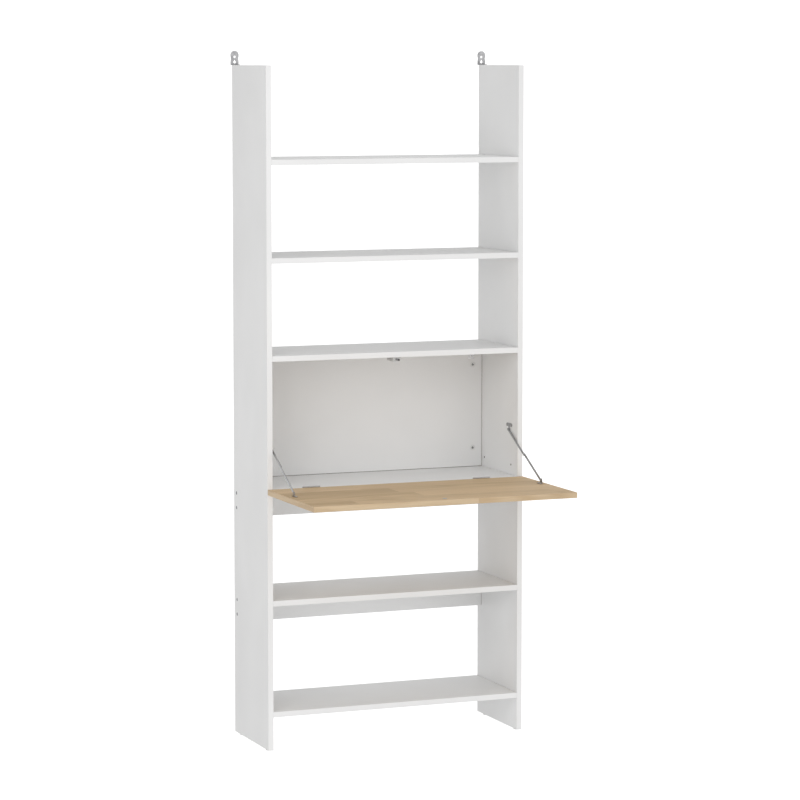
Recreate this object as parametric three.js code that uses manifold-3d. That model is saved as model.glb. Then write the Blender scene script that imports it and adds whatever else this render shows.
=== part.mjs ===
import * as THREE from "three";
import { mergeVertices } from "three/addons/utils/BufferGeometryUtils.js";
import Module from "manifold-3d";

// A tall open bookcase with a drop-front writing flap, for one wall of a room.
// Millimetres, +Z up. X runs across the width, Y from the front to the wall.
// The origin is on the floor, under the middle of the whole object with its flap open.

// ---- Driving dimensions -------------------------------------------------------------
const board = 16; // thickness of every board
const width = 810; // over the outer faces of the two sides
const depth = 300; // of the sides and the shelves
const height = 2000; // from the floor to the top of the sides
const gap = 0.2; // between two pieces that touch
const round = 14; // sides of a small round bar or hole

// Heights of the upper faces of the shelves.
const bottomShelfTop = 116;
const lowerPitch = 328.5;
const deskHeight = 773;
const compartmentPitch = 388;
const upperPitch = 284;
const lowerShelfTop = bottomShelfTop + lowerPitch;
const compartmentTop = deskHeight + compartmentPitch;
const upperShelfTop = compartmentTop + upperPitch;
const topShelfTop = upperShelfTop + upperPitch;

// The back panel and the rails stand a little in from the rear edges.
const backInset = 15;
const upperRailHeight = 101;
const lowerRailHeight = 88;

// The flap is hinged at the front of the desk deck and covers the compartment when shut.
const hingeAhead = 1.4; // the pin, ahead of the deck's front edge
const hingeAbove = 2; // and above the deck
const hingeInset = 135; // centre of a hinge, from the outer face of the near side
const flapLength = 385;

// The folding stays: pivots measured from the carcass front and from the floor.
const stayPivot = { back: 60, height: 909 }; // on the side panel
const bracketPivot = { ahead: 174, above: 10 }; // on the flap, above its inner face

// ---- Derived places -----------------------------------------------------------------
const flapEdge = 2 * hingeAhead; // hinge side of the flap, ahead of the carcass
const reach = flapEdge + flapLength; // front edge of the open flap
const front = (reach - depth) / 2; // Y of the carcass front
const rear = front + depth;
const outer = width / 2;
const inner = outer - board;
const backRear = rear - backInset;
const backFront = backRear - board;
const deckUnder = deskHeight - board;
const lowerShelfUnder = lowerShelfTop - board;
const compartmentUnder = compartmentTop - board;
const hinge = { y: front - hingeAhead, z: deskHeight + hingeAbove };
const rightAndLeft = [["left", -1], ["right", 1]];

// ---- Materials ----------------------------------------------------------------------
function material(color, roughness, metalness) {
  return new THREE.MeshStandardMaterial({ color, roughness, metalness });
}
const white = material(0xe9e9e8, 0.5, 0);
const oak = material(0xb89a6c, 0.55, 0);
const steel = material(0xa8a9aa, 0.35, 1);
const zinc = material(0xcfd1d2, 0.3, 1);
const darkSteel = material(0x6f7173, 0.4, 1);
const greyPlastic = material(0x9a9c9d, 0.55, 0);
const whitePlastic = material(0xe4e4e2, 0.5, 0);

// ---- Solid tools --------------------------------------------------------------------
const wasm = await Module();
wasm.setup();

function solid(geometry) {
  const bare = geometry.clone();
  bare.deleteAttribute("normal");
  bare.deleteAttribute("uv");
  const merged = mergeVertices(bare, 1e-4);
  return new wasm.Manifold(new wasm.Mesh({
    numProp: 3,
    vertProperties: merged.attributes.position.array,
    triVerts: new Uint32Array(merged.index.array),
  }));
}

function geometryOf(body) {
  const mesh = body.getMesh();
  const geometry = new THREE.BufferGeometry();
  geometry.setAttribute("position", new THREE.BufferAttribute(mesh.vertProperties, 3));
  geometry.setIndex(new THREE.BufferAttribute(mesh.triVerts, 1));
  return geometry;
}

function cut(geometry, tools) {
  return geometryOf(tools.reduce((body, tool) => body.subtract(solid(tool)), solid(geometry)));
}

function join(geometries) {
  return geometryOf(geometries.map(solid).reduce((body, next) => body.add(next)));
}

// A block between two limits on each axis.
function block(x, y, z) {
  const geometry = new THREE.BoxGeometry(x[1] - x[0], y[1] - y[0], z[1] - z[0]);
  return geometry.translate((x[0] + x[1]) / 2, (y[0] + y[1]) / 2, (z[0] + z[1]) / 2);
}

// Round bars: along X, Y or Z, between two limits, centred on the other two coordinates.
function barX(radius, x, y, z, sides = round) {
  const bar = new THREE.CylinderGeometry(radius, radius, x[1] - x[0], sides);
  return bar.rotateZ(Math.PI / 2).translate((x[0] + x[1]) / 2, y, z);
}
function barY(radius, y, x, z, sides = round) {
  const bar = new THREE.CylinderGeometry(radius, radius, y[1] - y[0], sides);
  return bar.translate(x, (y[0] + y[1]) / 2, z);
}
function barZ(radius, z, x, y, sides = round) {
  const bar = new THREE.CylinderGeometry(radius, radius, z[1] - z[0], sides);
  return bar.rotateX(Math.PI / 2).translate(x, y, (z[0] + z[1]) / 2);
}

// Limits along X on the left (-1) or right (+1) side, lowest first.
function sideSpan(side, a, b) {
  return side < 0 ? [-Math.max(a, b), -Math.min(a, b)] : [Math.min(a, b), Math.max(a, b)];
}

const desk = new THREE.Group();
function piece(name, geometry, look) {
  const mesh = new THREE.Mesh(geometry, look);
  mesh.name = name;
  desk.add(mesh);
}

// ---- Fixings in the boards ----------------------------------------------------------
// A confirmat screw goes through a side into the end of a rail. Its head is sunk flush.
const screw = { head: 5, headDepth: 3.5, shank: 3.4, thread: 2.9, length: 50, clearance: 0.3 };
const railScrewSpread = 44;
const screwY = (backFront + backRear) / 2;
const railScrews = [
  ["upper_rail", deckUnder - upperRailHeight / 2],
  ["lower_rail", lowerShelfUnder - lowerRailHeight / 2],
].flatMap(([rail, middle]) => [
  { rail, end: "top", z: middle + railScrewSpread / 2 },
  { rail, end: "bottom", z: middle - railScrewSpread / 2 },
]);

function screwBore(side, z) {
  const seat = outer - screw.headDepth - screw.clearance;
  const tip = outer - screw.length - 1;
  return [
    barX(screw.head + screw.clearance, sideSpan(side, seat, outer + 1), screwY, z),
    barX(screw.shank + screw.clearance, sideSpan(side, tip, outer), screwY, z),
  ];
}

// Cam locks: a disc in one board, drawn onto a bolt in the next. 15 mm is the usual size.
const cam = { radius: 7.5, deep: 12, pocket: 0.2, sides: 20 };
const backCams = [831, 1087]; // heights on the back panel
const backCamInset = 31; // from the inner face of the near side
const deckCams = [40, 245]; // on the underside of the deck, from its front edge
const deckCamInset = 34;

// Two holes in each inner face, low in the compartment, left for an extra divider.
const spareHole = { radius: 2.5, deep: 11, height: 803, back: [49, 249] };

// ---- Boards -------------------------------------------------------------------------
const glide = { radius: 9, thick: 2, inset: [20, 250] };

function sidePanel(side) {
  const x = sideSpan(side, inner, outer);
  const body = block(x, [front, rear], [glide.thick + gap, height]);
  const spares = spareHole.back.map((back) => {
    const span = sideSpan(side, inner - 1, inner + spareHole.deep);
    return barX(spareHole.radius, span, front + back, spareHole.height);
  });
  const bores = railScrews.flatMap(({ z }) => screwBore(side, z));
  return cut(body, [...spares, ...bores, hangerScrewBore(side)]);
}

function shelf(top, tools = []) {
  const body = block([-inner + gap, inner - gap], [front, rear], [top - board, top]);
  return tools.length ? cut(body, tools) : body;
}

function deckCamPockets() {
  const z = [deckUnder - 1, deckUnder + cam.deep + cam.pocket];
  return rightAndLeft.flatMap(([, side]) => deckCams.map((back) =>
    barZ(cam.radius + cam.pocket, z, side * (inner - deckCamInset), front + back, cam.sides)));
}

function backPanel() {
  const z = [deskHeight + gap, compartmentUnder - gap];
  const body = block([-inner + gap, inner - gap], [backFront, backRear], z);
  const y = [backFront - 1, backFront + cam.deep + cam.pocket];
  const pockets = rightAndLeft.flatMap(([, side]) => backCams.map((camZ) =>
    barY(cam.radius + cam.pocket, y, side * (inner - backCamInset), camZ, cam.sides)));
  return cut(body, pockets);
}

function rail(name, top, tall) {
  const z = [top - tall, top - gap];
  const body = block([-inner + gap, inner - gap], [backFront, backRear], z);
  const bores = railScrews.filter((one) => one.rail === name).flatMap((one) =>
    rightAndLeft.flatMap(([, side]) => screwBore(side, one.z)));
  return cut(body, bores);
}

// ---- Wall hangers -------------------------------------------------------------------
// A bent plate on top of each side: the upright is hooked over a screw in the wall.
const hanger = { wide: 25, tall: 42, thick: 2, foot: 27, footWide: 15, waist: 1.6 };
const hangerScrew = { head: 4.4, headTall: 2.6, shank: 1.8, length: 30, inset: 18 };

// Half the upright's outline: a rounded head, a slight waist and a straight foot.
function hangerOutline() {
  const half = hanger.wide / 2;
  const headZ = hanger.tall - half;
  const waistZ = headZ - half + 3;
  const outline = new THREE.Shape();
  outline.moveTo(-half, 0);
  outline.lineTo(-half, 6);
  outline.quadraticCurveTo(-half, 10, -half + hanger.waist, waistZ);
  outline.quadraticCurveTo(-half, headZ - 6, -half, headZ);
  outline.absarc(0, headZ, half, Math.PI, 0, true);
  outline.quadraticCurveTo(half, headZ - 6, half - hanger.waist, waistZ);
  outline.quadraticCurveTo(half, 10, half, 6);
  outline.lineTo(half, 0);
  outline.closePath();
  return outline;
}

// The keyhole takes the wall screw's head at the bottom and its shank at the top.
function keyhole() {
  const hole = new THREE.Path();
  hole.absarc(0, 8.8, 4.2, Math.PI * 0.68, Math.PI * 0.32, false);
  hole.absarc(0, 13, 2.1, Math.PI * 0.2, Math.PI * 0.8, false);
  hole.closePath();
  return hole;
}

function hangerPlate(side) {
  const upright = hangerOutline();
  const hole = new THREE.Path();
  hole.absarc(0, 24, 3.7, 0, Math.PI * 2, false);
  upright.holes.push(keyhole(), hole);
  const options = { depth: hanger.thick, bevelEnabled: false, curveSegments: 8 };
  const plate = new THREE.ExtrudeGeometry(upright, options);
  const x = side * (outer - board / 2);
  plate.rotateX(Math.PI / 2).translate(x, rear, height + gap);
  const half = hanger.footWide / 2;
  const z = [height + gap, height + gap + hanger.thick];
  const foot = block([x - half, x + half], [rear - hanger.foot, rear - 0.5], z);
  const y = rear - hangerScrew.inset;
  const bore = barZ(hangerScrew.shank + 0.4, [height - 1, z[1] + 1], x, y);
  return cut(join([plate, foot]), [bore]);
}

function hangerScrewBore(side) {
  const x = side * (outer - board / 2);
  const z = [height - hangerScrew.length - 1, height + 1];
  return barZ(hangerScrew.shank + 0.2, z, x, rear - hangerScrew.inset);
}

function hangerScrewBody(side) {
  const seat = height + gap + hanger.thick + gap;
  const profile = [
    [0, -hangerScrew.length], [0.5, 3 - hangerScrew.length], [hangerScrew.shank, 8 - hangerScrew.length],
    [hangerScrew.shank, 0], [hangerScrew.head, 0], [hangerScrew.head, 0.8],
    [hangerScrew.head * 0.72, hangerScrew.headTall * 0.85], [0, hangerScrew.headTall],
  ].map(([r, z]) => new THREE.Vector2(r, z));
  const body = new THREE.LatheGeometry(profile, round).rotateX(Math.PI / 2);
  return body.translate(side * (outer - board / 2), rear - hangerScrew.inset, seat);
}

// ---- Screws, cams and glides --------------------------------------------------------
// A confirmat screw with its tapered head, pointing inwards, and a hexagon socket.
function confirmat(side, z) {
  const { head, headDepth, shank, thread, length } = screw;
  const collar = headDepth + 12;
  const profile = [
    [0, length], [0.6, length], [thread, length - 4], [thread, collar + 0.6],
    [shank, collar], [shank, headDepth], [head, 1], [head, 0], [0, 0],
  ].map(([r, depthIn]) => new THREE.Vector2(r, -depthIn));
  const turned = new THREE.LatheGeometry(profile, round);
  const socket = new THREE.CylinderGeometry(2.3, 2.3, 6, 6);
  const body = cut(turned, [socket]);
  return body.rotateZ(-side * Math.PI / 2).translate(side * (outer - 0.2), screwY, z);
}

// A cam disc with a cross recess in its face, made with the face towards +Y.
function camDisc() {
  const face = cam.deep - 0.3;
  const disc = new THREE.CylinderGeometry(cam.radius, cam.radius, face, cam.sides);
  const slot = [
    block([-4, 4], [face / 2 - 2.5, face / 2 + 1], [-0.8, 0.8]),
    block([-0.8, 0.8], [face / 2 - 2.5, face / 2 + 1], [-4, 4]),
  ];
  return cut(disc, slot).translate(0, -face / 2, 0);
}

function glideDisc() {
  const { radius, thick } = glide;
  const profile = [[0, 0], [radius - 0.8, 0], [radius, 0.8], [radius, thick], [0, thick]]
    .map(([r, z]) => new THREE.Vector2(r, z));
  return new THREE.LatheGeometry(profile, round).rotateX(Math.PI / 2);
}

// ---- Butt hinges --------------------------------------------------------------------
// The leaves lie face to face between the deck's edge and the flap's edge while it is open.
const leaf = { wide: 54, tall: 15, thick: 1, slack: 0.4 };
const knuckle = { radius: 2.35, bore: 1.3, pin: 1.2, gap: 0.3, sides: 18 };

// One leaf: a plate hanging below the barrel, joined to its own knuckles.
function hingeLeaf(x, spans, plateY) {
  const low = hinge.z - hingeAbove - leaf.tall;
  const clear = hinge.z - knuckle.radius - leaf.slack;
  const parts = [block([x - leaf.wide / 2, x + leaf.wide / 2], plateY, [low, clear])];
  for (const span of spans) {
    const at = [x + span[0], x + span[1]];
    parts.push(block(at, plateY, [clear - 1, hinge.z - 0.3]));
    parts.push(barX(knuckle.radius, at, hinge.y, hinge.z, knuckle.sides));
  }
  const through = [x - leaf.wide, x + leaf.wide];
  const bore = barX(knuckle.bore, through, hinge.y, hinge.z, knuckle.sides);
  const holes = [-1, 0, 1].map((step) => {
    const at = [plateY[0] - 1, plateY[1] + 1];
    return barY(1.6, at, x + step * 19, low + (step ? 5 : 9), 10);
  });
  return cut(join(parts), [bore, ...holes]);
}

function buttHinge(name, x) {
  const third = leaf.wide / 6;
  const outerSpans = [[-3 * third, -third - knuckle.gap / 2], [third + knuckle.gap / 2, 3 * third]];
  const middleSpan = [[-third + knuckle.gap / 2, third - knuckle.gap / 2]];
  const deckPlate = [front - gap - leaf.thick, front - gap];
  const flapPlate = [front - flapEdge + gap, front - flapEdge + gap + leaf.thick];
  piece(name + "_deck_leaf", hingeLeaf(x, outerSpans, deckPlate), steel);
  piece(name + "_flap_leaf", hingeLeaf(x, middleSpan, flapPlate), steel);
  const half = leaf.wide / 2;
  piece(name + "_pin", barX(knuckle.pin, [x - half, x + half], hinge.y, hinge.z), zinc);
}

// ---- Folding stays ------------------------------------------------------------------
// Two flat links each side, straight while the flap is open. They fold up and back
// into the compartment as it shuts. The layers below run inwards from the side panel.
const link = { wide: 7.5, thick: 1.6, slack: 0.3, hole: 2.2 };
const wallPivot = { y: front + stayPivot.back, z: stayPivot.height };
const flapPivot = { y: front - bracketPivot.ahead, z: deskHeight + bracketPivot.above };
const elbow = {
  y: (wallPivot.y + flapPivot.y) / 2,
  z: (wallPivot.z + flapPivot.z) / 2,
};
const plateLayer = [inner - gap - 1.4, inner - gap]; // the wall plate and the flap's bracket
const lowerLayer = [plateLayer[0] - link.slack - link.thick, plateLayer[0] - link.slack];
const upperLayer = [lowerLayer[0] - link.slack - link.thick, lowerLayer[0] - link.slack];

// A flat link with round ends, in the plane of one layer, with holes where named.
function linkBar(side, layer, from, to, holes) {
  const length = Math.hypot(to.y - from.y, to.z - from.z);
  const half = link.wide / 2;
  const outline = new THREE.Shape();
  outline.absarc(0, 0, half, Math.PI / 2, Math.PI * 1.5, false);
  outline.absarc(length, 0, half, -Math.PI / 2, Math.PI / 2, false);
  outline.closePath();
  for (const along of holes) {
    const hole = new THREE.Path();
    hole.absarc(along * length, 0, link.hole, 0, Math.PI * 2, false);
    outline.holes.push(hole);
  }
  return inLayer(outline, side, layer, from, Math.atan2(to.z - from.z, to.y - from.y));
}

// Extrudes an outline drawn in (Y, Z) about a point, turned by an angle, through one layer.
function inLayer(outline, side, layer, at, angle = 0) {
  const options = { depth: layer[1] - layer[0], bevelEnabled: false, curveSegments: 8 };
  const plate = new THREE.ExtrudeGeometry(outline, options);
  plate.rotateZ(angle).rotateX(Math.PI / 2).rotateZ(Math.PI / 2);
  return plate.translate(sideSpan(side, ...layer)[0], at.y, at.z);
}

// The plate on the side panel: a bar with two screw holes over a stem with the pivot post.
function stayPlate(side) {
  const screwUp = 14;
  const bar = 41 / 2;
  const half = 5;
  const outline = new THREE.Shape();
  outline.absarc(0, 0, half, Math.PI, 0, false);
  outline.lineTo(half, screwUp - half - 3);
  outline.quadraticCurveTo(half, screwUp - half, half + 3, screwUp - half);
  outline.absarc(bar - half, screwUp, half, -Math.PI / 2, Math.PI / 2, false);
  outline.absarc(-bar + half, screwUp, half, Math.PI / 2, Math.PI * 1.5, false);
  outline.lineTo(-half - 3, screwUp - half);
  outline.quadraticCurveTo(-half, screwUp - half, -half, screwUp - half - 3);
  outline.closePath();
  for (const way of [-1, 1]) {
    const hole = new THREE.Path();
    hole.absarc(way * (bar - half), screwUp, 1.9, 0, Math.PI * 2, false);
    outline.holes.push(hole);
  }
  const post = [upperLayer[0] - 0.4, plateLayer[1] - 0.4];
  const head = [upperLayer[0] - 1.1, upperLayer[0] - 0.3];
  const collar = [lowerLayer[0], plateLayer[0] + 0.2];
  return join([
    inLayer(outline, side, plateLayer, wallPivot),
    barX(3.6, sideSpan(side, ...collar), wallPivot.y, wallPivot.z),
    barX(link.hole - 0.25, sideSpan(side, ...post), wallPivot.y, wallPivot.z),
    barX(3.6, sideSpan(side, ...head), wallPivot.y, wallPivot.z),
  ]);
}

// The bracket on the flap: a foot with two screw holes, an ear and the pivot post.
function stayBracket(side) {
  const thick = 1.6;
  const footWide = 10;
  const long = 24;
  const bottom = deskHeight + gap;
  const top = flapPivot.z - bottom;
  const half = 5.5;
  const ear = new THREE.Shape();
  ear.moveTo(-long / 2 + 5, 0);
  ear.lineTo(long / 2 - 5, 0);
  ear.lineTo(half, top);
  ear.absarc(0, top, half, 0, Math.PI, false);
  ear.closePath();
  const footX = [plateLayer[1] - footWide, plateLayer[1]];
  const foot = block(
    sideSpan(side, ...footX),
    [flapPivot.y - long / 2, flapPivot.y + long / 2],
    [bottom, bottom + thick],
  );
  const holes = [-1, 1].map((way) => barZ(
    1.9, [bottom - 1, bottom + thick + 1],
    side * (footX[0] + 3.8), flapPivot.y + way * 7.5,
  ));
  const post = [lowerLayer[0] - 0.4, plateLayer[1] - 0.4];
  const head = [lowerLayer[0] - 1.1, lowerLayer[0] - 0.3];
  return cut(join([
    inLayer(ear, side, plateLayer, { y: flapPivot.y, z: bottom }),
    foot,
    barX(link.hole - 0.25, sideSpan(side, ...post), flapPivot.y, flapPivot.z),
    barX(3.6, sideSpan(side, ...head), flapPivot.y, flapPivot.z),
  ]), holes);
}

// The elbow rivet: its head is inside the upper link, its body stops short of the lower link.
function elbowRivet(side) {
  const head = [upperLayer[0] - 1, upperLayer[0] - 0.2];
  const body = [upperLayer[0] - 0.4, upperLayer[1] - 0.1];
  return join([
    barX(3.6, sideSpan(side, ...head), elbow.y, elbow.z),
    barX(link.hole - 0.2, sideSpan(side, ...body), elbow.y, elbow.z),
  ]);
}

// ---- Push latch ---------------------------------------------------------------------
const latch = { wide: 22, tall: 12, long: 46, setBack: 4, ear: 9, travel: 14, plunger: 3.2 };
const latchZ = compartmentUnder - gap - latch.tall / 2;
const plungerTip = 16; // ahead of the carcass front while the flap is open

function latchHousing() {
  const top = compartmentUnder - gap;
  const y = [front + latch.setBack, front + latch.setBack + latch.long];
  const half = latch.wide / 2;
  const ears = half + latch.ear;
  const body = join([
    block([-half, half], y, [top - latch.tall, top]),
    block([-ears, ears], [y[0] + 14, y[0] + 26], [top - 3, top]),
  ]);
  const bore = barY(latch.plunger + 0.25, [y[0] - 1, y[1] - 3], 0, latchZ);
  const screws = [-1, 1].map((way) =>
    barZ(1.7, [top - 4, top + 1], way * (half + latch.ear / 2), y[0] + 20));
  return cut(body, [bore, ...screws]);
}

function latchPlunger() {
  const tail = front + latch.setBack + latch.long - 3 - latch.travel - 0.5;
  const tip = front - plungerTip;
  return join([
    barY(latch.plunger, [tip + 3, tail], 0, latchZ),
    barY(latch.plunger - 0.5, [tip, tip + 4], 0, latchZ),
  ]);
}

// The strike plate meets the plunger when the flap is shut.
function strikePlate() {
  const z = deskHeight + gap;
  const up = latchZ - hinge.z;
  const disc = barZ(7, [z, z + 1], 0, hinge.y - up, 20);
  return cut(disc, [barZ(1.6, [z + 0.4, z + 2], 0, hinge.y - up)]);
}

// ---- Angle brackets under the compartment top ---------------------------------------
function angleBracket(side) {
  const x = side * (inner - 37);
  const leg = 40;
  const thick = 2;
  const half = 10;
  const top = compartmentUnder - gap;
  const back = backFront - gap;
  const body = join([
    block([x - half, x + half], [back - thick, back], [top - leg, top]),
    block([x - half, x + half], [back - leg, back], [top - thick, top]),
    block([x - 1, x + 1], [back - 12, back - 0.5], [top - 12, top - 0.5]),
  ]);
  const holes = [14, 31].flatMap((along) => [
    barY(2.2, [back - thick - 1, back + 1], x, top - along),
    barZ(2.2, [top - thick - 1, top + 1], x, back - along),
  ]);
  return cut(body, holes);
}

// ---- Assembly -----------------------------------------------------------------------
for (const [name, side] of rightAndLeft) piece(name + "_side_panel", sidePanel(side), white);
piece("top_shelf", shelf(topShelfTop), white);
piece("upper_shelf", shelf(upperShelfTop), white);
piece("compartment_top", shelf(compartmentTop), white);
piece("desk_deck", shelf(deskHeight, deckCamPockets()), white);
piece("lower_shelf", shelf(lowerShelfTop), white);
piece("bottom_shelf", shelf(bottomShelfTop), white);
piece("back_panel", backPanel(), white);
piece("upper_rail", rail("upper_rail", deckUnder, upperRailHeight), white);
piece("lower_rail", rail("lower_rail", lowerShelfUnder, lowerRailHeight), white);
piece("flap", block([-outer, outer], [front - reach, front - flapEdge], [deckUnder, deskHeight]), oak);

for (const [name, side] of rightAndLeft) {
  piece(name + "_wall_hanger", hangerPlate(side), zinc);
  piece(name + "_hanger_screw", hangerScrewBody(side), darkSteel);
  buttHinge(name + "_hinge", side * (outer - hingeInset));

  piece(name + "_stay_plate", stayPlate(side), steel);
  piece(name + "_upper_link", linkBar(side, upperLayer, wallPivot, elbow, [0, 1]), steel);
  piece(name + "_lower_link", linkBar(side, lowerLayer, flapPivot, elbow, [0]), steel);
  piece(name + "_elbow_rivet", elbowRivet(side), zinc);
  piece(name + "_stay_bracket", stayBracket(side), steel);

  piece(name + "_angle_bracket", angleBracket(side), zinc);
  for (const { rail: railName, end, z } of railScrews) {
    piece([name, railName, end, "screw"].join("_"), confirmat(side, z), darkSteel);
  }
  for (const [where, z] of [["lower", backCams[0]], ["upper", backCams[1]]]) {
    const disc = camDisc().rotateX(Math.PI);
    disc.translate(side * (inner - backCamInset), backFront + 0.1, z);
    piece([name, where, "back_cam"].join("_"), disc, greyPlastic);
  }
  for (const [where, back] of [["front", deckCams[0]], ["rear", deckCams[1]]]) {
    const disc = camDisc().rotateX(-Math.PI / 2);
    disc.translate(side * (inner - deckCamInset), front + back, deckUnder + 0.1);
    piece([name, where, "deck_cam"].join("_"), disc, greyPlastic);
  }
  for (const [where, back] of [["front", glide.inset[0]], ["rear", glide.inset[1]]]) {
    const foot = glideDisc().translate(side * (outer - board / 2), front + back, 0);
    piece([name, where, "glide"].join("_"), foot, whitePlastic);
  }
}

piece("latch_housing", latchHousing(), greyPlastic);
piece("latch_plunger", latchPlunger(), darkSteel);
piece("strike_plate", strikePlate(), zinc);

export default desk;
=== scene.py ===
"""A tall open bookcase with a drop-front writing flap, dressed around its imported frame.

Metres, +Z up; -Y is the front. The boards are the frame's own solids. This script rounds their
edges and adds edge bands, screw heads, rivets, cams and every surface finish.
"""

import math

import bmesh
import bpy
from mathutils import Matrix, Vector


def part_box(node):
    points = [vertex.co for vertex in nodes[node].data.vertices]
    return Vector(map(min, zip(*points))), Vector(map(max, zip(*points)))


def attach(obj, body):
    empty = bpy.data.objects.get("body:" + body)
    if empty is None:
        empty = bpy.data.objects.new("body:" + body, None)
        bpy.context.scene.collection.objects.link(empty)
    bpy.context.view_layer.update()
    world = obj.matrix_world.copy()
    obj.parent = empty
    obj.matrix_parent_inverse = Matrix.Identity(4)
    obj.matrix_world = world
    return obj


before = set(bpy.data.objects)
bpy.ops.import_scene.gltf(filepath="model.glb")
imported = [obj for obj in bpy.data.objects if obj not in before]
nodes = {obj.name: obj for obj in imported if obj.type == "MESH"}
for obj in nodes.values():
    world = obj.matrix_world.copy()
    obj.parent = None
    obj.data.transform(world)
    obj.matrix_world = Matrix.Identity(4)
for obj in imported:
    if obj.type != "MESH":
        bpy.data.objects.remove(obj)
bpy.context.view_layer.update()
scene = bpy.context.scene
MM = 0.001
SIDES = (("left", -1), ("right", 1))

SHELVES = ("top_shelf", "upper_shelf", "compartment_top", "desk_deck", "lower_shelf", "bottom_shelf")
RAILS = ("upper_rail", "lower_rail")
PANELS = ("left_side_panel", "right_side_panel")

SHARP = math.radians(36)  # edges above this angle stay sharp in shading

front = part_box("desk_deck")[0].y  # the plane of the boards' front edges


# ---- Camera -------------------------------------------------------------------------
def make_camera():
    """A long lens at the height of the bookcase's top, looking slightly down."""
    tilt = math.radians(84.625)
    turn = math.radians(-21.925)
    data = bpy.data.cameras.new("camera")
    data.sensor_width = 36
    data.lens = 143.06
    data.shift_y = -0.05
    data.clip_end = 900
    camera = bpy.data.objects.new("camera", data)
    scene.collection.objects.link(camera)
    camera.location = (-3.466, front - 8.635, 2.0125)
    camera.rotation_euler = (tilt, 0, turn)
    scene.camera = camera


# ---- Node materials -----------------------------------------------------------------
def add_node(tree, kind, inputs=None, **settings):
    """A new node. Each input is linked where it is given a socket, and set where it is a value."""
    node = tree.nodes.new(kind)
    for key, value in settings.items():
        setattr(node, key, value)
    for key, value in (inputs or {}).items():
        if isinstance(value, bpy.types.NodeSocket):
            tree.links.new(value, node.inputs[key])
        else:
            node.inputs[key].default_value = value
    return node


class Finish:
    """A material under construction. Its methods add nodes and return output sockets."""

    def __init__(self, name, color, roughness, metallic=0.0):
        self.material = bpy.data.materials.new(name)
        self.material.use_nodes = True
        self.tree = self.material.node_tree
        self.shader = self.tree.nodes["Principled BSDF"]
        self.shader.inputs["Base Color"].default_value = (*color, 1)
        self.shader.inputs["Roughness"].default_value = roughness
        self.shader.inputs["Metallic"].default_value = metallic
        self.place = self.add("ShaderNodeTexCoord").outputs["Object"]

    def add(self, kind, inputs=None, **settings):
        return add_node(self.tree, kind, inputs, **settings)

    def scaled(self, scale, source=None):
        inputs = {"Vector": source or self.place, "Scale": scale}
        return self.add("ShaderNodeMapping", inputs).outputs["Vector"]

    def noise(self, vector, scale, detail, roughness=0.5):
        inputs = {"Vector": vector, "Scale": scale, "Detail": detail, "Roughness": roughness}
        return self.add("ShaderNodeTexNoise", inputs).outputs["Fac"]

    def math(self, operation, a, b=0.0, c=0.0):
        inputs = {0: a, 1: b, 2: c}
        return self.add("ShaderNodeMath", inputs, operation=operation).outputs[0]

    def span(self, value, low, high, to_low=0.0, to_high=1.0):
        """Maps value from low..high to to_low..to_high, held at the ends."""
        inputs = {"Value": value, "From Min": low, "From Max": high,
                  "To Min": to_low, "To Max": to_high}
        return self.add("ShaderNodeMapRange", inputs).outputs["Result"]

    def mix(self, factor, a, b):
        """Blends two colours, each a socket or a red, green and blue value."""
        a, b = [c if isinstance(c, bpy.types.NodeSocket) else (*c, 1) for c in (a, b)]
        return self.add("ShaderNodeMix", {0: factor, 6: a, 7: b}, data_type="RGBA").outputs[2]

    def combine(self, x, y, z):
        return self.add("ShaderNodeCombineXYZ", {0: x, 1: y, 2: z}).outputs[0]

    def axes(self):
        return self.add("ShaderNodeSeparateXYZ", {0: self.place}).outputs

    def set(self, socket, source):
        self.tree.links.new(source, self.shader.inputs[socket])

    def bump(self, height, distance, strength):
        inputs = {"Height": height, "Distance": distance, "Strength": strength}
        self.set("Normal", self.add("ShaderNodeBump", inputs).outputs["Normal"])


def white_laminate(name, color, pebble=0.00006):
    """White melamine: a fine pebbled skin, with faint cloudiness and smudges in its gloss."""
    finish = Finish(name, color, 0.5)
    cloud = finish.noise(finish.place, 5.0, 2.0)
    fine = finish.noise(finish.place, 1400.0, 2.0, 0.6)
    darker = tuple(0.975 * c for c in color)
    finish.set("Base Color", finish.mix(finish.span(cloud, 0.35, 0.65), darker, color))
    smudge = finish.noise(finish.scaled((3, 3, 1.2)), 4.0, 4.0, 0.6)
    finish.set("Roughness", finish.span(smudge, 0.3, 0.7, 0.42, 0.54))
    finish.bump(fine, pebble, 0.5)
    return finish.material


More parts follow.
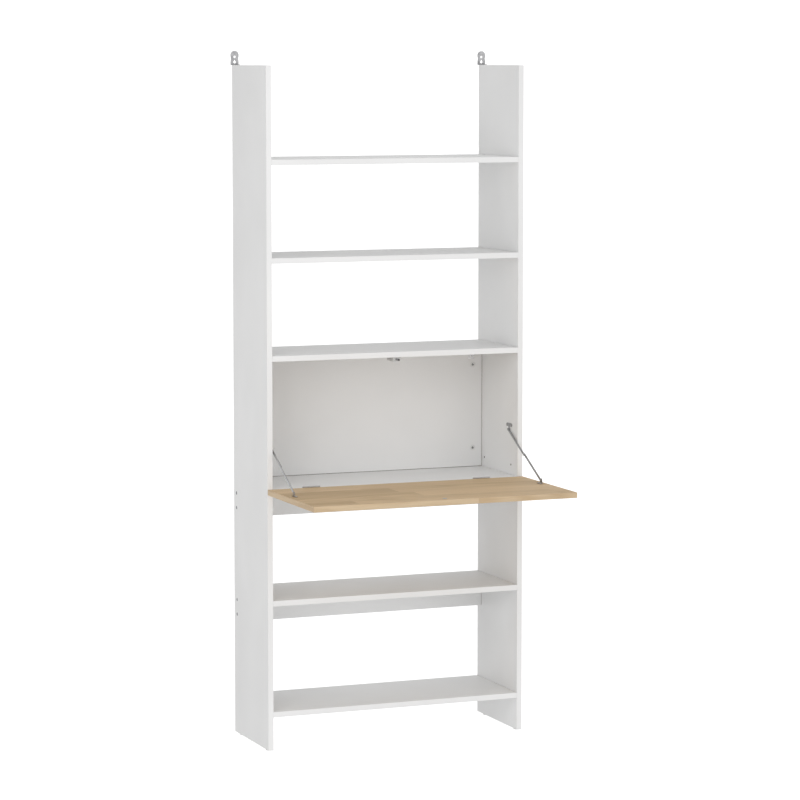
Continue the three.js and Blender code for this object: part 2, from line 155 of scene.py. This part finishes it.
def oak_finish(name, light, mid, dark, along="X", staves=True):
    """Oak pattern: staves of differing tone, cathedral figure, fine fibres and pores."""
    finish = Finish(name, mid, 0.52)
    x, y, z = finish.axes()
    if along == "Y":
        x, y = y, x
    stave = 0.0965
    length = 0.62
    along_y = finish.math("DIVIDE", finish.math("SUBTRACT", y, front), stave)
    row = finish.math("FLOOR", along_y)
    if not staves:
        row = finish.math("MULTIPLY", row, 0.0)
    shift = finish.add("ShaderNodeTexWhiteNoise", {"W": row}, noise_dimensions="1D").outputs["Value"]
    along_x = finish.math("DIVIDE", finish.math("MULTIPLY_ADD", shift, 0.9, x), length)
    block = finish.math("FLOOR", along_x)
    seed = finish.combine(row, block, 3.0)
    chance = finish.add("ShaderNodeTexWhiteNoise", {"Vector": seed}, noise_dimensions="3D")
    tone = chance.outputs["Value"]
    # Each stave looks at its own part of the figure.
    jump = finish.add("ShaderNodeVectorMath", {0: chance.outputs["Color"], 1: (7.0, 3.0, 5.0)},
                      operation="MULTIPLY").outputs[0]
    local = finish.combine(x, y, z)
    moved = finish.add("ShaderNodeVectorMath", {0: local, 1: jump}, operation="ADD").outputs[0]
    # Cathedral figure: the level lines of a slow, stretched noise.
    slow = finish.noise(finish.scaled((0.9, 6.0, 6.0), source=moved), 1.0, 1.5, 0.4)
    rings = finish.math("SINE", finish.math("MULTIPLY", slow, 120.0))
    rings = finish.math("MULTIPLY_ADD", rings, 0.5, 0.5)
    drift = finish.noise(finish.scaled((0.8, 14.0, 14.0), source=moved), 1.0, 3.0, 0.55)
    fibre = finish.noise(finish.scaled((9.0, 420.0, 420.0), source=moved), 1.0, 4.0, 0.65)
    pores = finish.noise(finish.scaled((38.0, 1500.0, 1500.0), source=moved), 1.0, 2.0, 0.5)
    pore = finish.span(pores, 0.62, 0.74)
    figure = finish.math("MULTIPLY_ADD", rings, 0.16, finish.math("MULTIPLY", drift, 0.84))
    figure = finish.math("MULTIPLY_ADD", finish.math("SUBTRACT", tone, 0.5), 0.34, figure)
    ramp = finish.add("ShaderNodeValToRGB", {"Fac": figure})
    stops = ramp.color_ramp.elements
    stops[0].position, stops[0].color = 0.28, (*dark, 1)
    stops[1].position, stops[1].color = 0.74, (*light, 1)
    middle = stops.new(0.50)
    middle.color = (*mid, 1)
    grained = finish.mix(finish.span(fibre, 0.3, 0.7, 0.0, 0.30), ramp.outputs["Color"],
                         tuple(0.72 * c for c in dark))
    color = finish.mix(finish.math("MULTIPLY", pore, 0.30), grained, tuple(0.5 * c for c in dark))
    height = finish.math("MULTIPLY_ADD", fibre, 0.5, finish.math("MULTIPLY", pore, -0.6))
    if staves:
        # Fine dark joints between the staves.
        across = finish.math("FRACT", along_y)
        edge = finish.math("MINIMUM", across, finish.math("SUBTRACT", 1.0, across))
        butt = finish.math("FRACT", along_x)
        end = finish.math("MINIMUM", butt, finish.math("SUBTRACT", 1.0, butt))
        line = finish.math("MAXIMUM", finish.span(edge, 0.0, 0.006, 1.0, 0.0),
                           finish.span(end, 0.0, 0.0009, 1.0, 0.0))
        color = finish.mix(finish.math("MULTIPLY", line, 0.42), color, tuple(0.45 * c for c in dark))
        height = finish.math("SUBTRACT", height, line)
    finish.set("Base Color", color)
    finish.set("Roughness", finish.span(fibre, 0.3, 0.7, 0.46, 0.60))
    finish.bump(height, 0.00008, 0.6)
    return finish.material


def brushed_metal(name, color, roughness, along, marks=0.00002):
    """Metal with fine lines along one axis, faint stains and a little wear in its gloss."""
    finish = Finish(name, color, roughness, 1.0)
    stretch = [60 if axis == along else 2600 for axis in "XYZ"]
    lines = finish.noise(finish.scaled(stretch), 1.0, 3.0, 0.6)
    stain = finish.noise(finish.place, 90.0, 3.0, 0.6)
    dull = tuple(0.78 * c for c in color)
    finish.set("Base Color", finish.mix(finish.span(stain, 0.35, 0.7), color, dull))
    wear = finish.span(stain, 0.3, 0.7, roughness - 0.1, roughness + 0.04)
    finish.set("Roughness", finish.math("MULTIPLY_ADD", lines, 0.16, wear))
    finish.bump(lines, marks, 0.5)
    return finish.material


def moulded_plastic(name, color):
    """Plastic from a spark-eroded mould: a close, even grain."""
    finish = Finish(name, color, 0.5)
    grain = finish.noise(finish.place, 2200.0, 2.0, 0.5)
    tone = finish.noise(finish.place, 60.0, 2.0)
    darker = tuple(0.9 * c for c in color)
    finish.set("Base Color", finish.mix(finish.span(tone, 0.3, 0.7), darker, color))
    finish.set("Roughness", finish.span(grain, 0.3, 0.7, 0.42, 0.6))
    finish.bump(grain, 0.00004, 0.5)
    return finish.material


def dark_painted_chipboard(name):
    """The board's bare inside, pressed flakes of wood, that shows in a drilled hole and at a bare end.
    Its colour is far darker than real board: painted shade for those narrow seams and holes.
    """
    finish = Finish(name, (0.16, 0.12, 0.08), 0.9)
    flakes = finish.add("ShaderNodeTexVoronoi", {"Vector": finish.place, "Scale": 900.0})
    depth = flakes.outputs["Distance"]
    shade = finish.span(depth, 0.0, 0.8)
    finish.set("Base Color", finish.mix(shade, (0.20, 0.155, 0.105), (0.10, 0.07, 0.045)))
    finish.bump(depth, 0.0002, 0.8)
    return finish.material


def studio_white(name):
    """A plain pale studio surface, lit from within so that it stays even and white."""
    finish = Finish(name, (0.3, 0.3, 0.3), 0.9)
    grain = finish.noise(finish.place, 300.0, 2.0)
    finish.bump(grain, 0.0001, 0.1)
    finish.shader.inputs["Specular IOR Level"].default_value = 0.1
    finish.shader.inputs["Emission Color"].default_value = (1, 1, 1, 1)
    finish.shader.inputs["Emission Strength"].default_value = 1.0
    return finish.material


WHITE = (0.86, 0.86, 0.857)
white = white_laminate("white_laminate_skin", WHITE)
white_band = white_laminate("white_edge_band", WHITE, 0.00003)
OAK = {"light": (0.72, 0.52, 0.31), "mid": (0.63, 0.45, 0.25), "dark": (0.51, 0.35, 0.18)}
OAK_EDGE = {"light": (0.72, 0.56, 0.37), "mid": (0.64, 0.48, 0.30), "dark": (0.53, 0.37, 0.21)}
oak = oak_finish("oak_laminate_skin", **OAK)
oak_edge_x = oak_finish("oak_edge_band_front", **OAK_EDGE, staves=False)
oak_edge_y = oak_finish("oak_edge_band_side", **OAK_EDGE, along="Y", staves=False)
steel_x = brushed_metal("steel_along_x", (0.60, 0.60, 0.61), 0.42, "X")
steel_y = brushed_metal("steel_along_y", (0.46, 0.46, 0.47), 0.42, "Y")
bracket_steel = brushed_metal("darkened_bracket_steel", (0.36, 0.31, 0.26), 0.5, "Y")
zinc_z = brushed_metal("bright_zinc", (0.96, 0.96, 0.97), 0.24, "Z")
hanger_zinc = brushed_metal("dull_zinc", (0.48, 0.48, 0.49), 0.5, "Z")
dark_steel = brushed_metal("dark_screw_steel", (0.30, 0.30, 0.31), 0.42, "X", 0.00001)
die_cast = brushed_metal("die_cast_zinc", (0.52, 0.52, 0.53), 0.55, "X", 0.00004)
pale_plastic = moulded_plastic("pale_plastic_grain", (0.60, 0.60, 0.59))
grey_plastic = moulded_plastic("grey_plastic_grain", (0.27, 0.27, 0.275))
white_plastic = moulded_plastic("white_plastic_grain", (0.72, 0.72, 0.71))
# Painted shade: this dark board finish colours the seams at bare board edges and the insides of the
# spare holes.
painted_shade_core = dark_painted_chipboard("chipboard_core_painted_shade")
cam_metal = moulded_plastic("cam_face_grain", (0.80, 0.80, 0.79))
# Painted shade: a dark metal for the inner faces of the cams' cross recesses.
shadowed_metal = brushed_metal("cam_recess_painted_shade", (0.24, 0.24, 0.24), 0.6, "X")
rubber = moulded_plastic("black_rubber", (0.06, 0.06, 0.06))


# ---- Finishing the frame's own solids -----------------------------------------------
def geometry_group(name):
    """An empty geometry node group with one geometry in and one out."""
    group = bpy.data.node_groups.new(name, "GeometryNodeTree")
    group.interface.new_socket("Geometry", in_out="INPUT", socket_type="NodeSocketGeometry")
    group.interface.new_socket("Geometry", in_out="OUTPUT", socket_type="NodeSocketGeometry")
    return group, group.nodes.new("NodeGroupInput"), group.nodes.new("NodeGroupOutput")


def weld_group():
    """Joins the split corners of an imported solid and drops its stored normals."""
    group, source, result = geometry_group("weld_corners")
    merge = group.nodes.new("GeometryNodeMergeByDistance")
    merge.inputs["Distance"].default_value = 0.00001
    drop = group.nodes.new("GeometryNodeRemoveAttribute")
    drop.inputs["Name"].default_value = "custom_normal"
    group.links.new(source.outputs[0], merge.inputs["Geometry"])
    group.links.new(merge.outputs["Geometry"], drop.inputs["Geometry"])
    group.links.new(drop.outputs["Geometry"], result.inputs[0])
    return group


def smooth_group():
    """Smooth shading, broken only at edges above the SHARP angle."""
    group, source, result = geometry_group("smooth_under_angle")
    faces = group.nodes.new("GeometryNodeSetShadeSmooth")
    edges = group.nodes.new("GeometryNodeSetShadeSmooth")
    edges.domain = "EDGE"
    angle = group.nodes.new("GeometryNodeInputMeshEdgeAngle")
    blunt = group.nodes.new("FunctionNodeCompare")
    blunt.data_type = "FLOAT"
    blunt.operation = "LESS_EQUAL"
    blunt.inputs[1].default_value = SHARP
    group.links.new(angle.outputs["Unsigned Angle"], blunt.inputs[0])
    group.links.new(source.outputs[0], faces.inputs["Geometry"])
    group.links.new(faces.outputs["Geometry"], edges.inputs["Geometry"])
    group.links.new(blunt.outputs[0], edges.inputs["Shade Smooth"])
    group.links.new(edges.outputs["Geometry"], result.inputs[0])
    return group


WELD = weld_group()
SMOOTH = smooth_group()


def level_faces(obj):
    """Keeps broad faces flat in shading, so that only the rounded edges curve."""
    level = obj.modifiers.new("level_faces", "WEIGHTED_NORMAL")
    level.mode = "FACE_AREA_WITH_ANGLE"
    level.weight = 90
    level.keep_sharp = True


def finish_node(name, material, round_off, raw_painted_shade=None):
    """Gives a frame solid its finish and rounds its sharp edges, which take the second finish if one is
    given: bare board painted dark as the shade in the seam.
    """
    obj = nodes[name]
    weld = obj.modifiers.new("weld", "NODES")
    weld.node_group = WELD
    bevel = obj.modifiers.new("round_edges", "BEVEL")
    bevel.width = round_off
    bevel.segments = 2
    bevel.limit_method = "ANGLE"
    bevel.angle_limit = math.radians(38)
    smooth = obj.modifiers.new("smooth", "NODES")
    smooth.node_group = SMOOTH
    level_faces(obj)
    for slot in obj.material_slots:
        slot.material = material
    if raw_painted_shade:
        obj.data.materials.append(raw_painted_shade)
        bevel.material = len(obj.material_slots) - 1


for board in PANELS:
    finish_node(board, white, 0.5 * MM)
# The boards between the sides have bare ends. Their rounded edges take the dark-painted board finish,
# painted shade that makes a thin dark seam where they meet.
for board in SHELVES + RAILS:
    finish_node(board, white, 0.5 * MM, raw_painted_shade=painted_shade_core)
# The back panel's wider rounded edges take the same painted shade, a dark line where it meets the
# sides.
finish_node("back_panel", white, 1.2 * MM, raw_painted_shade=painted_shade_core)
finish_node("flap", oak, 0.6 * MM)
for side, _ in SIDES:
    finish_node(side + "_wall_hanger", hanger_zinc, 0.35 * MM)
    finish_node(side + "_hanger_screw", dark_steel, 0.2 * MM)
    finish_node(side + "_hinge_deck_leaf", steel_x, 0.15 * MM)
    finish_node(side + "_hinge_flap_leaf", steel_x, 0.15 * MM)
    finish_node(side + "_hinge_pin", steel_x, 0.15 * MM)
    finish_node(side + "_stay_plate", steel_y, 0.25 * MM)
    finish_node(side + "_upper_link", steel_y, 0.3 * MM)
    finish_node(side + "_lower_link", steel_y, 0.3 * MM)
    finish_node(side + "_elbow_rivet", steel_x, 0.2 * MM)
    finish_node(side + "_stay_bracket", bracket_steel, 0.25 * MM)
    finish_node(side + "_angle_bracket", zinc_z, 0.3 * MM)
    for where in ("lower", "upper"):
        finish_node(f"{side}_{where}_back_cam", die_cast, 0.2 * MM)
        for end in ("top", "bottom"):
            finish_node(f"{side}_{where}_rail_{end}_screw", dark_steel, 0.15 * MM)
    for where in ("front", "rear"):
        finish_node(f"{side}_{where}_deck_cam", die_cast, 0.2 * MM)
        finish_node(f"{side}_{where}_glide", white_plastic, 0.2 * MM)
finish_node("latch_housing", pale_plastic, 0.6 * MM)
finish_node("latch_plunger", grey_plastic, 0.3 * MM)
finish_node("strike_plate", steel_x, 0.2 * MM)


# ---- New pieces ---------------------------------------------------------------------
def add_piece(name, mesh, material, body, place=Matrix.Identity(4)):
    """Puts a mesh into the scene as a piece that rides on a body."""
    obj = bpy.data.objects.new(name, mesh)
    scene.collection.objects.link(obj)
    obj.matrix_world = place
    if not mesh.materials:
        mesh.materials.append(material)
    level_faces(obj)
    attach(obj, body)


def shade_smooth(mesh):
    for polygon in mesh.polygons:
        polygon.use_smooth = True
    mesh.set_sharp_from_angle(angle=SHARP)


def mesh_of(name, bm):
    mesh = bpy.data.meshes.new(name)
    bm.normal_update()
    bm.to_mesh(mesh)
    bm.free()
    shade_smooth(mesh)
    return mesh


def block_mesh(name, low, high, round_off):
    """A block between two corners with all its edges rounded."""
    bm = bmesh.new()
    bmesh.ops.create_cube(bm, size=1)
    size = Vector(high) - Vector(low)
    middle = (Vector(high) + Vector(low)) / 2
    place = Matrix.Translation(middle) @ Matrix.Diagonal((*size, 1))
    bmesh.ops.transform(bm, matrix=place, verts=bm.verts)
    bmesh.ops.bevel(bm, geom=bm.edges[:], offset=round_off, segments=2, profile=0.5,
                    affect="EDGES", clamp_overlap=True)
    return mesh_of(name, bm)


def lathe_bmesh(profile, steps=40):
    """Turns (radius, height) points, first and last on the axis, about +Z."""
    bm = bmesh.new()
    turns = [2 * math.pi * i / steps for i in range(steps)]
    rings = []
    for radius, height in profile:
        if radius == 0:
            rings.append([bm.verts.new((0, 0, height))])
            continue
        points = [(radius * math.cos(turn), radius * math.sin(turn), height) for turn in turns]
        rings.append([bm.verts.new(point) for point in points])
    for lower, upper in zip(rings, rings[1:]):
        for i in range(steps):
            j = (i + 1) % steps
            if len(lower) == 1:
                bm.faces.new((lower[0], upper[j], upper[i]))
            elif len(upper) == 1:
                bm.faces.new((lower[i], lower[j], upper[0]))
            else:
                bm.faces.new((lower[i], lower[j], upper[j], upper[i]))
    bmesh.ops.recalc_face_normals(bm, faces=bm.faces)
    return bm


def carve(name, bm, cutter_bm, material=None, recess=None, rim=0.0):
    """The first solid less the second. Inner faces under the rim height take the recess material, a
    darker colour painted as the shade in the recess.
    """
    body = bpy.data.objects.new(name, mesh_of(name, bm))
    cutter = bpy.data.objects.new(name + "_cutter", mesh_of(name + "_cutter", cutter_bm))
    for obj in (body, cutter):
        scene.collection.objects.link(obj)
    boolean = body.modifiers.new("carve", "BOOLEAN")
    boolean.operation = "DIFFERENCE"
    boolean.solver = "EXACT"
    boolean.object = cutter
    graph = bpy.context.evaluated_depsgraph_get()
    mesh = bpy.data.meshes.new_from_object(body.evaluated_get(graph))
    for obj in (body, cutter):
        bpy.data.objects.remove(obj)
    mesh.name = name
    mesh.materials.clear()
    if recess:
        mesh.materials.append(material)
        mesh.materials.append(recess)
    well_inside = 0.7 * max(vertex.co.xy.length for vertex in mesh.vertices)
    for polygon in mesh.polygons:
        middle = polygon.center
        sunk = middle.xy.length < well_inside and middle.z < rim - 0.1 * MM
        polygon.material_index = 1 if recess and sunk else 0
    shade_smooth(mesh)
    return mesh


def cross_cutter(reach, width, floor, top, taper=0.55):
    """A cross-shaped plug that tapers towards the recess's floor."""
    quarter = ((reach, -width), (reach, width), (width, width))
    outline = [Matrix.Rotation(math.pi / 2 * turn, 2) @ Vector(p) for turn in range(4) for p in quarter]
    bm = bmesh.new()
    lower = [bm.verts.new((*(taper * p), floor)) for p in outline]
    upper = [bm.verts.new((*p, top)) for p in outline]
    bm.faces.new(reversed(lower))
    bm.faces.new(upper)
    for i in range(len(outline)):
        j = (i + 1) % len(outline)
        bm.faces.new((lower[i], lower[j], upper[j], upper[i]))
    return bm


def toward(axis, at, spin=0.0):
    """A placement that turns +Z to the axis and moves the origin to a point."""
    turn = Vector((0, 0, 1)).rotation_difference(Vector(axis)).to_matrix().to_4x4()
    return Matrix.Translation(at) @ turn @ Matrix.Rotation(spin, 4, "Z")


def dome_profile(radius, height):
    """A low dome over a short straight rim, heights from 0."""
    rim_height = 0.25 * height
    steps = 7
    points = [(0, 0), (radius, 0), (radius, rim_height)]
    for step in range(1, steps):
        angle = math.pi / 2 * step / steps
        points.append((radius * math.cos(angle), rim_height + (height - rim_height) * math.sin(angle)))
    return points + [(0, height)]


def in_mm(*points):
    """Points given in millimetres, turned into metres."""
    return [(radius * MM, height * MM) for radius, height in points]


pan_head = carve("pan_head", lathe_bmesh(dome_profile(3.5 * MM, 2.1 * MM)),
                 cross_cutter(1.9 * MM, 0.42 * MM, 0.7 * MM, 2.6 * MM))
small_pan_head = carve("small_pan_head", lathe_bmesh(dome_profile(2.9 * MM, 1.7 * MM)),
                       cross_cutter(1.6 * MM, 0.36 * MM, 0.6 * MM, 2.2 * MM))
flush_profile = in_mm((0, -0.8), (1.0, -0.8), (1.5, -0.1), (1.48, 0), (0, 0.05))
flush_head = carve("flush_head", lathe_bmesh(flush_profile, 24),
                   cross_cutter(0.95 * MM, 0.2 * MM, -0.45 * MM, 0.3 * MM))
cam_profile = in_mm((0, -2.4), (7.4, -2.4), (7.4, -0.05), (9, -0.05), (9, 0.1), (8.6, 0.3),
                    (6.4, 0.3), (6.2, 0.15), (0, 0.15))
cam_face = carve("cam_face", lathe_bmesh(cam_profile, 48),
                 cross_cutter(4.4 * MM, 1.5 * MM, -2.1 * MM, 0.6 * MM, 0.8),
                 cam_metal, shadowed_metal, 0.15 * MM)
rivet_dome = mesh_of("rivet_dome", lathe_bmesh(dome_profile(3.4 * MM, 1.0 * MM), 36))


# ---- Edge bands ---------------------------------------------------------------------
BAND = 0.8 * MM  # thickness
PROUD = 0.12 * MM  # how far it stands out from the edge
OVER = 0.03 * MM  # how far it laps over the board's faces


def edge_band(name, board, face, material, body, inset=(0, 0)):
    """A strip glued over one edge of a board, a hair proud of it.

    face is the axis and direction of the edge, such as (1, -1) for the front. inset is how far
    the strip's two ends stay back from the board's.
    """
    low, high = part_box(board)
    axis, way = face
    strip_low = Vector(low) - Vector((OVER, OVER, OVER))
    strip_high = Vector(high) + Vector((OVER, OVER, OVER))
    if way < 0:
        strip_low[axis] = low[axis] - PROUD
        strip_high[axis] = low[axis] + BAND - PROUD
    else:
        strip_low[axis] = high[axis] - BAND + PROUD
        strip_high[axis] = high[axis] + PROUD
    length_axis = max((a for a in range(3) if a != axis), key=lambda a: high[a] - low[a])
    strip_low[length_axis] = low[length_axis] + inset[0]
    strip_high[length_axis] = high[length_axis] - inset[1]
    mesh = block_mesh(name, strip_low, strip_high, 0.25 * MM)
    add_piece(name, mesh, material, body)


FRONT, REAR, UP, DOWN = (1, -1), (1, 1), (2, 1), (2, -1)
for board in PANELS + SHELVES:
    edge_band(board + "_front_band", board, FRONT, white_band, "carcass")
    edge_band(board + "_rear_band", board, REAR, white_band, "carcass")
for board in RAILS:
    edge_band(board + "_lower_band", board, DOWN, white_band, "carcass")
for board in PANELS:
    edge_band(board + "_top_band", board, UP, white_band, "carcass",
              inset=(BAND - PROUD, BAND - PROUD))
edge_band("flap_front_band", "flap", FRONT, oak_edge_x, "flap")
edge_band("flap_rear_band", "flap", REAR, oak_edge_x, "flap")
for side, way in SIDES:
    edge_band(f"flap_{side}_band", "flap", (0, way), oak_edge_y, "flap",
              inset=(BAND, BAND))


# ---- Screws, rivets and cams --------------------------------------------------------
def add_head(name, mesh, axis, at, body, material, spin=0.0):
    """A fixing that faces along an axis from a point on a surface."""
    add_piece(name, mesh, material, body, toward(axis, at, spin))


def stay_fixings(side, way):
    """Screws in the wall plate and in the flap's bracket, and domed heads on the pivots."""
    inwards = (-way, 0, 0)
    low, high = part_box(side + "_stay_plate")
    thick = 1.4 * MM
    screw_reach = 15.5 * MM
    screw_drop = 5 * MM
    pivot_drop = 19 * MM
    face = way * (max(abs(low.x), abs(high.x)) - thick)
    middle = (low.y + high.y) / 2
    for label, step in (("front", -1), ("rear", 1)):
        at = (face, middle + step * screw_reach, high.z - screw_drop)
        name = f"{side}_stay_plate_{label}_screw"
        add_head(name, small_pan_head, inwards, at, "carcass", steel_x, spin=0.4 + step)
    pivot = (way * min(abs(low.x), abs(high.x)), middle, high.z - pivot_drop)
    add_head(side + "_wall_pivot_rivet", rivet_dome, inwards, pivot, "carcass", steel_x)

    low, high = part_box(side + "_stay_bracket")
    foot_thick = 1.6 * MM
    screw_inset = 3.8 * MM
    screw_reach = 7.5 * MM
    pivot_face = 384.4 * MM
    pivot_drop = 5.5 * MM
    middle = (low.y + high.y) / 2
    inboard = min(abs(low.x), abs(high.x))
    for label, step in (("front", -1), ("rear", 1)):
        at = (way * (inboard + screw_inset), middle + step * screw_reach, low.z + foot_thick)
        name = f"{side}_stay_bracket_{label}_screw"
        add_head(name, small_pan_head, (0, 0, 1), at, "flap", steel_x, spin=0.3 * step)
    pivot = (way * pivot_face, middle, high.z - pivot_drop)
    add_head(side + "_flap_pivot_rivet", rivet_dome, inwards, pivot, "flap", steel_x)

    low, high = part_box(side + "_elbow_rivet")
    middle = (low + high) / 2
    elbow = (way * min(abs(low.x), abs(high.x)), middle.y, middle.z)
    body = side + "_upper_link"
    add_head(side + "_elbow_rivet_dome", rivet_dome, inwards, elbow, body, steel_x)


def hinge_screws(side):
    """Three countersunk screws in each leaf, the middle one higher than the others."""
    leaf_thick = 1 * MM
    spacing = 19 * MM
    outer_height = 5 * MM
    middle_height = 9 * MM
    for leaf, body, way in (("deck", "carcass", -1), ("flap", "flap", 1)):
        low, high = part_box(f"{side}_hinge_{leaf}_leaf")
        middle = (low.x + high.x) / 2
        face = low.y if leaf == "deck" else low.y + leaf_thick
        for step in (-1, 0, 1):
            height = outer_height if step else middle_height
            at = (middle + step * spacing, face, low.z + height)
            name = f"{side}_hinge_{leaf}_screw_{step + 2}"
            add_head(name, flush_head, (0, way, 0), at, body, steel_x, spin=0.5 * step)


def bracket_screws(side):
    """Two pan-head screws in each leg of the angle bracket."""
    low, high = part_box(side + "_angle_bracket")
    middle = (low.x + high.x) / 2
    thick = 2 * MM
    for number, along in ((1, 14 * MM), (2, 31 * MM)):
        wall = (middle, high.y - thick, high.z - along)
        under = (middle, high.y - along, high.z - thick)
        name = f"{side}_angle_bracket_wall_screw_{number}"
        add_head(name, pan_head, (0, -1, 0), wall, "carcass", zinc_z, spin=number)
        name = f"{side}_angle_bracket_top_screw_{number}"
        add_head(name, pan_head, (0, 0, -1), under, "carcass", zinc_z, spin=number)


def latch_fixings():
    """Screws through the latch's ears, a rubber cap on its plunger and a screw in the strike."""
    low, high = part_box("latch_housing")
    ear_reach = 15.5 * MM
    ear_inset = 20 * MM
    ear_thick = 3 * MM
    for label, way in SIDES:
        at = (way * ear_reach, low.y + ear_inset, high.z - ear_thick)
        name = f"latch_{label}_screw"
        add_head(name, small_pan_head, (0, 0, -1), at, "carcass", steel_x, spin=way)
    low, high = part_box("latch_plunger")
    tip = ((low.x + high.x) / 2, low.y, (low.z + high.z) / 2)
    cap_profile = in_mm((0, -2.6), (2.95, -2.6), (2.95, -0.4), (2.6, 0.05), (0, 0.1))
    cap = mesh_of("latch_tip", lathe_bmesh(cap_profile, 32))
    add_head("latch_tip", cap, (0, -1, 0), tip, "latch_plunger", rubber)
    low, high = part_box("strike_plate")
    middle = (low + high) / 2
    at = (middle.x, middle.y, high.z)
    add_head("strike_screw", flush_head, (0, 0, 1), at, "flap", steel_x)


def shelf_cams():
    """Cam fittings under every shelf and on the back panel."""
    reach = 355 * MM
    front_inset = 40 * MM
    # The angle brackets take the usual place of the rear cams under the compartment's top.
    rear_insets = dict.fromkeys(SHELVES, 245 * MM) | {"compartment_top": 200 * MM}
    for shelf, rear_inset in rear_insets.items():
        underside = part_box(shelf)[0].z
        for side, way in SIDES:
            for label, inset in (("front", front_inset), ("rear", rear_inset)):
                at = (way * reach, front + inset, underside - 0.1 * MM)
                name = f"{shelf}_{side}_{label}_cam_face"
                add_head(name, cam_face, (0, 0, -1), at, "carcass", cam_metal, spin=0.4)
    for side, way in SIDES:
        for label in ("lower", "upper"):
            low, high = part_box(f"{side}_{label}_back_cam")
            at = ((low.x + high.x) / 2, low.y - 0.2 * MM, (low.z + high.z) / 2)
            name = f"{side}_{label}_back_cam_face"
            add_head(name, cam_face, (0, -1, 0), at, "carcass", cam_metal, spin=0.3)


def shaded_hole_linings():
    """Dark linings in the spare fixing holes over the desk: bare board, painted dark as the shade
    inside each hole.
    """
    inner_face = 389 * MM
    height = 803 * MM
    profile = in_mm((0, -10.6), (2.45, -10.6), (2.45, 0.15), (2.75, 0.2), (2.75, 0.05),
                    (2.4, -0.1), (2.35, -10.4), (0, -10.4))
    # Each is a shallow cup with a lip in the dark-painted board finish: painted shade inside the hole.
    shade_lining = mesh_of("hole_lining_painted_shade", lathe_bmesh(profile, 28))
    for side, way in SIDES:
        for label, inset in (("front", 49 * MM), ("rear", 249 * MM)):
            at = (way * inner_face, front + inset, height)
            name = f"{side}_{label}_spare_hole"
            add_head(name, shade_lining, (-way, 0, 0), at, "carcass", painted_shade_core)


for side, way in SIDES:
    stay_fixings(side, way)
    hinge_screws(side)
    bracket_screws(side)
latch_fixings()
shelf_cams()
shaded_hole_linings()


# ---- Studio -------------------------------------------------------------------------
FACING = (0.39, -0.92, 0.0)  # towards the brightest side of the surroundings
AROUND = 0.67  # mean level of light from the sides
SWING = 0.48  # share by which it rises ahead and falls behind
OVERHEAD = 0.85  # level from straight above
BELOW = 0.80  # level from straight below

pale_surface = studio_white("pale_floor")


def studio_sheet(name, bm):
    """A white surface for the camera to see, which doesn't light the object."""
    mesh = mesh_of(name, bm)
    mesh.materials.append(pale_surface)
    sheet = bpy.data.objects.new(name, mesh)
    scene.collection.objects.link(sheet)
    sheet.visible_diffuse = False
    return sheet


def make_floor():
    """A floor to the horizon. The soft light from below is the world's, so it casts none itself."""
    bm = bmesh.new()
    bmesh.ops.create_grid(bm, x_segments=8, y_segments=8, size=500)
    floor = studio_sheet("floor", bm)


def make_world():
    """A soft studio: brightest in front, dimmer behind, with a pale ceiling and a pale floor."""
    world = bpy.data.worlds.new("studio")
    scene.world = world
    world.use_nodes = True
    tree = world.node_tree
    background = tree.nodes["Background"]

    def maths(operation, a, b, c=0.0):
        return add_node(tree, "ShaderNodeMath", {0: a, 1: b, 2: c}, operation=operation).outputs[0]

    def cap(height):
        """Nothing near the horizon, growing to 1 at the pole."""
        inputs = {"Value": height, "From Min": 0.25, "From Max": 1.0}
        grow = add_node(tree, "ShaderNodeMapRange", inputs, interpolation_type="SMOOTHSTEP")
        return grow.outputs[0]

    place = add_node(tree, "ShaderNodeTexCoord").outputs["Generated"]
    height = add_node(tree, "ShaderNodeSeparateXYZ", {0: place}).outputs["Z"]
    toward_front = add_node(tree, "ShaderNodeVectorMath", {0: place, 1: FACING},
                            operation="DOT_PRODUCT")
    ahead = toward_front.outputs["Value"]
    ring = maths("MULTIPLY_ADD", ahead, SWING * AROUND, AROUND)
    above = cap(height)
    below = cap(maths("MULTIPLY", height, -1.0))
    between = maths("SUBTRACT", maths("SUBTRACT", 1.0, above), below)
    level = maths("MULTIPLY", ring, between)
    level = maths("MULTIPLY_ADD", above, OVERHEAD, level)
    level = maths("MULTIPLY_ADD", below, BELOW, level)
    tree.links.new(level, background.inputs["Strength"])
    background.inputs["Color"].default_value = (1, 1, 1, 1)


def make_backdrop():
    """A white sweep far behind the bookcase, in view above the floor's horizon."""
    bm = bmesh.new()
    bmesh.ops.create_grid(bm, x_segments=4, y_segments=4, size=1)
    bmesh.ops.scale(bm, vec=(60, 12, 1), verts=bm.verts)
    upright = Matrix.Rotation(math.radians(90), 4, "X")
    square_on = Matrix.Rotation(math.radians(-21.72), 4, "Z")
    place = Matrix.Translation((26, 66, 0)) @ (square_on @ upright)
    bmesh.ops.transform(bm, matrix=place, verts=bm.verts)
    backdrop = studio_sheet("backdrop", bm)


def area_light(name, at, target, size, power):
    """A rectangular lamp at a point, aimed at another."""
    data = bpy.data.lights.new(name, "AREA")
    data.shape = "RECTANGLE"
    data.size, data.size_y = size
    data.energy = power
    light = bpy.data.objects.new(name, data)
    scene.collection.objects.link(light)
    light.location = at
    direction = Vector(target) - Vector(at)
    light.rotation_euler = direction.to_track_quat("-Z", "Y").to_euler()
    return light


make_camera()
make_floor()
make_world()
make_backdrop()
glint = area_light("glint_card", (3.2, -6.6, 0.6), (0.3, 0.27, 1.13), (1.6, 1.6), 12)
glint.visible_diffuse = False
area_light("side_softbox", (-2.4, -2.0, 1.6), (0.2, 0.1, 1.0), (1.8, 2.2), 20)
scene.view_settings.view_transform = "Standard"
scene.view_settings.look = "None"
